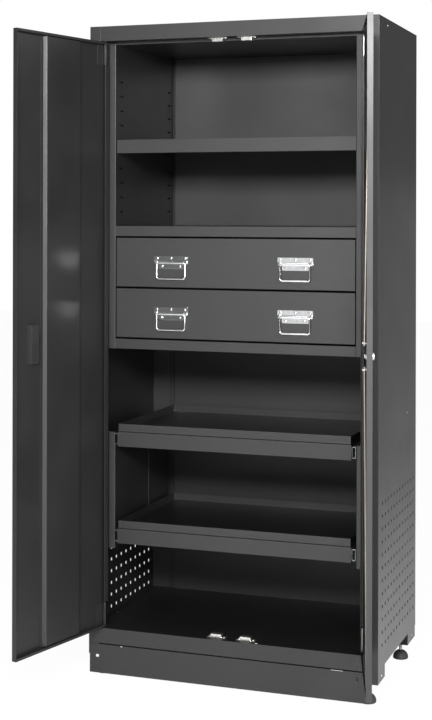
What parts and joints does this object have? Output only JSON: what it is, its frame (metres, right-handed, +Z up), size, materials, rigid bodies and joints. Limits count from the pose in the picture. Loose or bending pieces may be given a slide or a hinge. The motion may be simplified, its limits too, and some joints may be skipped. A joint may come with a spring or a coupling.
{
  "type": "tool chest side locker",
  "caption": "Tall free-standing tool locker in dark sheet steel with hinged doors, lock rods, shelves, drawers with drop handles, sliding trays and levelling feet.",
  "frame": {"origin": "on the ground, under the middle of the whole object as it stands with its doors open", "axes": "+Z up, -Y towards the front with the doors, +X to the right as seen from the front"},
  "size_m": [1.0602, 0.903, 2.016],
  "materials": {
    "black_paint": "satin powder coat",
    "shelf_paint": "satin powder coat",
    "zinc": "zinc plated",
    "chrome": "polished",
    "rubber": "matt",
    "black_plastic": "gloss"
  },
  "bodies": {
    "cabinet": {"left_side_panel": "black_paint", "right_side_panel": "black_paint", "back_panel": "black_paint", "top_panel": "black_paint", "floor_panel": "black_paint", "kick_plate": "black_paint", "left_liner": "shelf_paint", "right_liner": "shelf_paint", "left_tray_support": "shelf_paint", "right_tray_support": "shelf_paint", "adjustable_shelf": "shelf_paint", "drawer_shelf": "shelf_paint", "drawer_base": "shelf_paint", "upper_left_catch": "zinc", "upper_right_catch": "zinc", "lower_left_catch": "zinc", "lower_right_catch": "zinc", "lower_left_hinge_frame_leaf": "zinc", "upper_left_hinge_frame_leaf": "zinc", "lower_right_hinge_frame_leaf": "zinc", "upper_right_hinge_frame_leaf": "zinc", "lower_left_slide_channel": "zinc", "lower_right_slide_channel": "zinc", "upper_left_slide_channel": "zinc", "upper_right_slide_channel": "zinc"},
    "foot_front_left": {"front_left_foot": "rubber"},
    "foot_front_right": {"front_right_foot": "rubber"},
    "foot_rear_left": {"rear_left_foot": "rubber"},
    "foot_rear_right": {"rear_right_foot": "rubber"},
    "left_door": {"left_door_pan": "black_paint", "left_door_stiffener": "black_paint", "left_pull_cup": "black_plastic", "lower_left_hinge_door_leaf": "zinc", "upper_left_hinge_door_leaf": "zinc"},
    "right_door": {"right_door_pan": "black_paint", "right_door_stiffener": "black_paint", "lock_housing": "chrome", "lower_right_hinge_door_leaf": "zinc", "upper_right_hinge_door_leaf": "zinc"},
    "lock": {"lock_cam": "chrome"},
    "rod_up": {"upper_lock_rod": "zinc"},
    "rod_down": {"lower_lock_rod": "zinc"},
    "drawer_low": {"lower_drawer": "shelf_paint", "lower_left_handle_plate": "chrome", "lower_right_handle_plate": "chrome"},
    "drawer_high": {"upper_drawer": "shelf_paint", "upper_left_handle_plate": "chrome", "upper_right_handle_plate": "chrome"},
    "bail_low_left": {"lower_left_bail": "chrome"},
    "bail_low_right": {"lower_right_bail": "chrome"},
    "bail_high_left": {"upper_left_bail": "chrome"},
    "bail_high_right": {"upper_right_bail": "chrome"},
    "tray_low": {"lower_tray_pan": "shelf_paint", "lower_tray_frame": "shelf_paint", "lower_left_slide_runner": "zinc", "lower_right_slide_runner": "zinc"},
    "tray_high": {"upper_tray_pan": "shelf_paint", "upper_tray_frame": "shelf_paint", "upper_left_slide_runner": "zinc", "upper_right_slide_runner": "zinc"}
  },
  "joints": [
    {"name": "left_door_hinge", "type": "hinge", "parent": "cabinet", "child": "left_door", "pos_m": [-0.42398, -0.05052, 1.057], "axis": [0, 0, -1], "range_deg": [-103.7, 4]},
    {"name": "right_door_hinge", "type": "hinge", "parent": "cabinet", "child": "right_door", "pos_m": [0.40402, -0.05052, 1.057], "axis": [0, 0, 1], "range_deg": [-106.6, 1.4]},
    {"name": "lock_turn", "type": "hinge", "parent": "right_door", "child": "lock", "pos_m": [0.49801, -0.36581, 1.052], "axis": [-0.9583, -0.2857, 0], "range_deg": [0, 90]},
    {"name": "rod_up_slide", "type": "slide", "parent": "right_door", "child": "rod_up", "axis": [0.013, 0.0039, 0.9999], "range_m": [0, 0.012]},
    {"name": "rod_down_slide", "type": "slide", "parent": "right_door", "child": "rod_down", "axis": [0.0099, 0.0029, -0.9999], "range_m": [0, 0.012]},
    {"name": "drawer_low_slide", "type": "slide", "parent": "cabinet", "child": "drawer_low", "axis": [0, -1, 0], "range_m": [0, 0.36]},
    {"name": "drawer_high_slide", "type": "slide", "parent": "cabinet", "child": "drawer_high", "axis": [0, -1, 0], "range_m": [0, 0.36]},
    {"name": "bail_low_left_swing", "type": "hinge", "parent": "drawer_low", "child": "bail_low_left", "pos_m": [-0.20998, -0.03692, 1.1255], "axis": [-1, 0, 0], "range_deg": [0, 95]},
    {"name": "bail_low_right_swing", "type": "hinge", "parent": "drawer_low", "child": "bail_low_right", "pos_m": [0.19002, -0.03692, 1.1255], "axis": [-1, 0, 0], "range_deg": [0, 95]},
    {"name": "bail_high_left_swing", "type": "hinge", "parent": "drawer_high", "child": "bail_high_left", "pos_m": [-0.20998, -0.03692, 1.2832], "axis": [-1, 0, 0], "range_deg": [0, 95]},
    {"name": "bail_high_right_swing", "type": "hinge", "parent": "drawer_high", "child": "bail_high_right", "pos_m": [0.19002, -0.03692, 1.2832], "axis": [-1, 0, 0], "range_deg": [0, 95]},
    {"name": "tray_low_slide", "type": "slide", "parent": "cabinet", "child": "tray_low", "axis": [0, -1, 0], "range_m": [0, 0.33]},
    {"name": "tray_high_slide", "type": "slide", "parent": "cabinet", "child": "tray_high", "axis": [0, -1, 0], "range_m": [0, 0.33]},
    {"name": "front_left_foot_turn", "type": "hinge", "parent": "cabinet", "child": "foot_front_left", "pos_m": [-0.43498, -0.02652, 0], "axis": [0, 0, 1], "continuous": true},
    {"name": "front_right_foot_turn", "type": "hinge", "parent": "cabinet", "child": "foot_front_right", "pos_m": [0.41502, -0.02652, 0], "axis": [0, 0, 1], "continuous": true},
    {"name": "rear_left_foot_turn", "type": "hinge", "parent": "cabinet", "child": "foot_rear_left", "pos_m": [-0.43498, 0.40148, 0], "axis": [0, 0, 1], "continuous": true},
    {"name": "rear_right_foot_turn", "type": "hinge", "parent": "cabinet", "child": "foot_rear_right", "pos_m": [0.41502, 0.40148, 0], "axis": [0, 0, 1], "continuous": true}
  ],
  "couplings": [
    {"joint": "lock_turn", "follows": "rod_up_slide", "rad_per_m": 130.9},
    {"joint": "rod_down_slide", "follows": "rod_up_slide", "ratio": 1}
  ]
}
